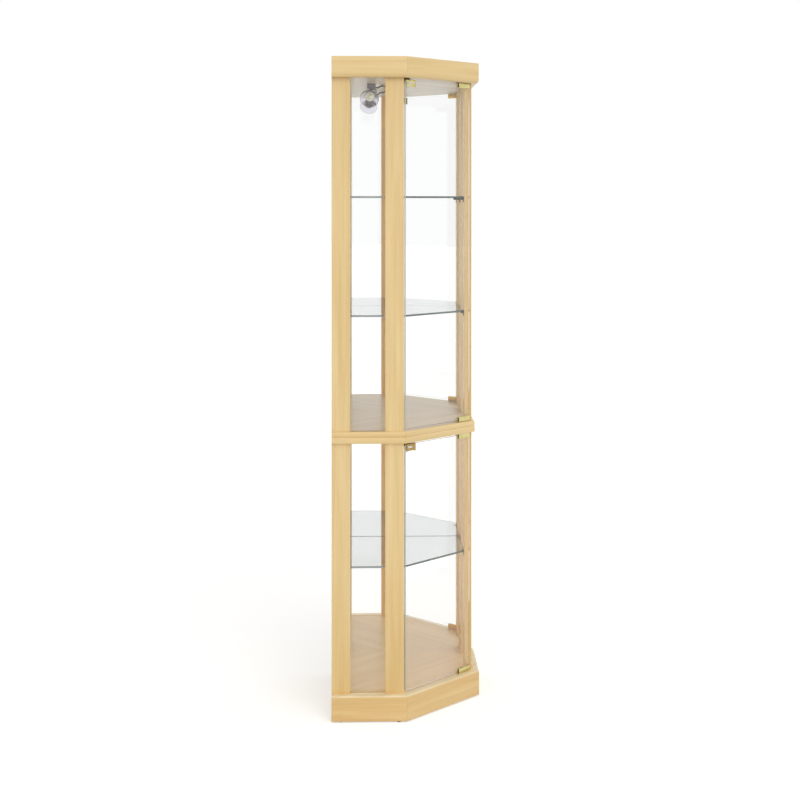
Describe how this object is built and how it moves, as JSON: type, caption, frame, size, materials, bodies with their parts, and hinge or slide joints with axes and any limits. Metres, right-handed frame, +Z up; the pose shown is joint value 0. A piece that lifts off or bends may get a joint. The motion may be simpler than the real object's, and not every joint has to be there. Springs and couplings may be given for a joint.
{
  "type": "corner curio cabinet",
  "caption": "Tall five-sided corner display case with glass sides, frameless hinged glass doors, mirror-lined back, glass shelves and a spot lamp.",
  "frame": {"origin": "on the floor under the middle of the case's bounding box", "axes": "+Z up, doors face -Y, the corner that goes into the room's corner is at +Y"},
  "size_m": [0.5812, 0.434, 1.778],
  "materials": {
    "maple": "clear satin lacquer over light maple",
    "maple_plinth": "clear satin lacquer over light maple, a little more golden",
    "back_board": "bare hardboard",
    "ceiling_board": "maple-faced board, satin",
    "mirror": "silvered, clean",
    "side_glass": "clear float glass",
    "shelf_glass": "clear float glass with polished edges",
    "door_glass": "clear toughened glass with polished edges",
    "brass": "polished and lacquered",
    "pin_steel": "bright plated",
    "latch_plastic": "fine texture",
    "lamp_grey": "satin grey paint",
    "lamp_glass": "coated reflector with a moulded lens",
    "lead_rubber": "smooth black sheath",
    "foot_plastic": "smooth"
  },
  "bodies": {
    "case": {"base_rail_left": "maple_plinth", "base_rail_front": "maple_plinth", "base_rail_right": "maple_plinth", "base_deck": "maple_plinth", "foot_left_front": "foot_plastic", "foot_right_front": "foot_plastic", "foot_left_back": "foot_plastic", "foot_right_back": "foot_plastic", "corner_post": "maple", "stile_left_back": "maple", "stile_left_front": "maple", "side_glass_left": "side_glass", "back_panel_left": "back_board", "mirror_left": "mirror", "stile_right_back": "maple", "stile_right_front": "maple", "side_glass_right": "side_glass", "back_panel_right": "back_board", "mirror_right": "mirror", "middle_deck": "maple", "moulding_left": "maple", "moulding_front": "maple", "moulding_right": "maple", "cap_rail_left": "maple", "cap_rail_front": "maple", "cap_rail_right": "maple", "ceiling_panel": "ceiling_board", "top_board": "maple", "shelf_lower": "shelf_glass", "shelf_pin_lower_left_back": "pin_steel", "shelf_pin_lower_left_front": "pin_steel", "shelf_pin_lower_right_back": "pin_steel", "shelf_pin_lower_right_front": "pin_steel", "shelf_middle": "shelf_glass", "shelf_pin_middle_left_back": "pin_steel", "shelf_pin_middle_left_front": "pin_steel", "shelf_pin_middle_right_back": "pin_steel", "shelf_pin_middle_right_front": "pin_steel", "shelf_upper": "shelf_glass", "shelf_pin_upper_left_back": "pin_steel", "shelf_pin_upper_left_front": "pin_steel", "shelf_pin_upper_right_back": "pin_steel", "shelf_pin_upper_right_front": "pin_steel", "latch_body_upper": "latch_plastic", "latch_body_lower": "latch_plastic", "lamp_base": "lamp_grey", "lamp_lead": "lead_rubber"},
    "door_upper": {"door_glass_upper": "door_glass", "hinge_clamp_upper_top": "brass", "hinge_clamp_upper_bottom": "brass", "strike_clip_upper": "brass"},
    "door_lower": {"door_glass_lower": "door_glass", "hinge_clamp_lower_top": "brass", "hinge_clamp_lower_bottom": "brass", "strike_clip_lower": "brass"},
    "latch_plunger_upper": {"latch_plunger_upper": "pin_steel"},
    "latch_plunger_lower": {"latch_plunger_lower": "pin_steel"},
    "lamp_arm": {"lamp_arm": "lamp_grey"},
    "lamp_head": {"lamp_socket": "lamp_grey", "lamp_bulb": "lamp_glass"}
  },
  "joints": [
    {"name": "door_upper_hinge", "type": "hinge", "parent": "case", "child": "door_upper", "pos_m": [0.12349, -0.19348, 1.24], "axis": [0, 0, 1], "range_deg": [0, 105]},
    {"name": "door_lower_hinge", "type": "hinge", "parent": "case", "child": "door_lower", "pos_m": [0.12349, -0.19348, 0.4], "axis": [0, 0, 1], "range_deg": [0, 105]},
    {"name": "latch_upper_press", "type": "slide", "parent": "case", "child": "latch_plunger_upper", "axis": [0, 1, 0], "range_m": [0, 0.004], "stiffness_N_per_m": 400},
    {"name": "latch_lower_press", "type": "slide", "parent": "case", "child": "latch_plunger_lower", "axis": [0, 1, 0], "range_m": [0, 0.004], "stiffness_N_per_m": 400},
    {"name": "lamp_pan", "type": "hinge", "parent": "case", "child": "lamp_arm", "pos_m": [-0.03988, 0.02351, 1.706], "axis": [0, 0, 1], "range_deg": [-90, 60]},
    {"name": "lamp_tilt", "type": "hinge", "parent": "lamp_arm", "child": "lamp_head", "pos_m": [-0.03988, 0.02351, 1.6901], "axis": [0.6018, -0.7986, 0], "range_deg": [-20, 20]}
  ]
}
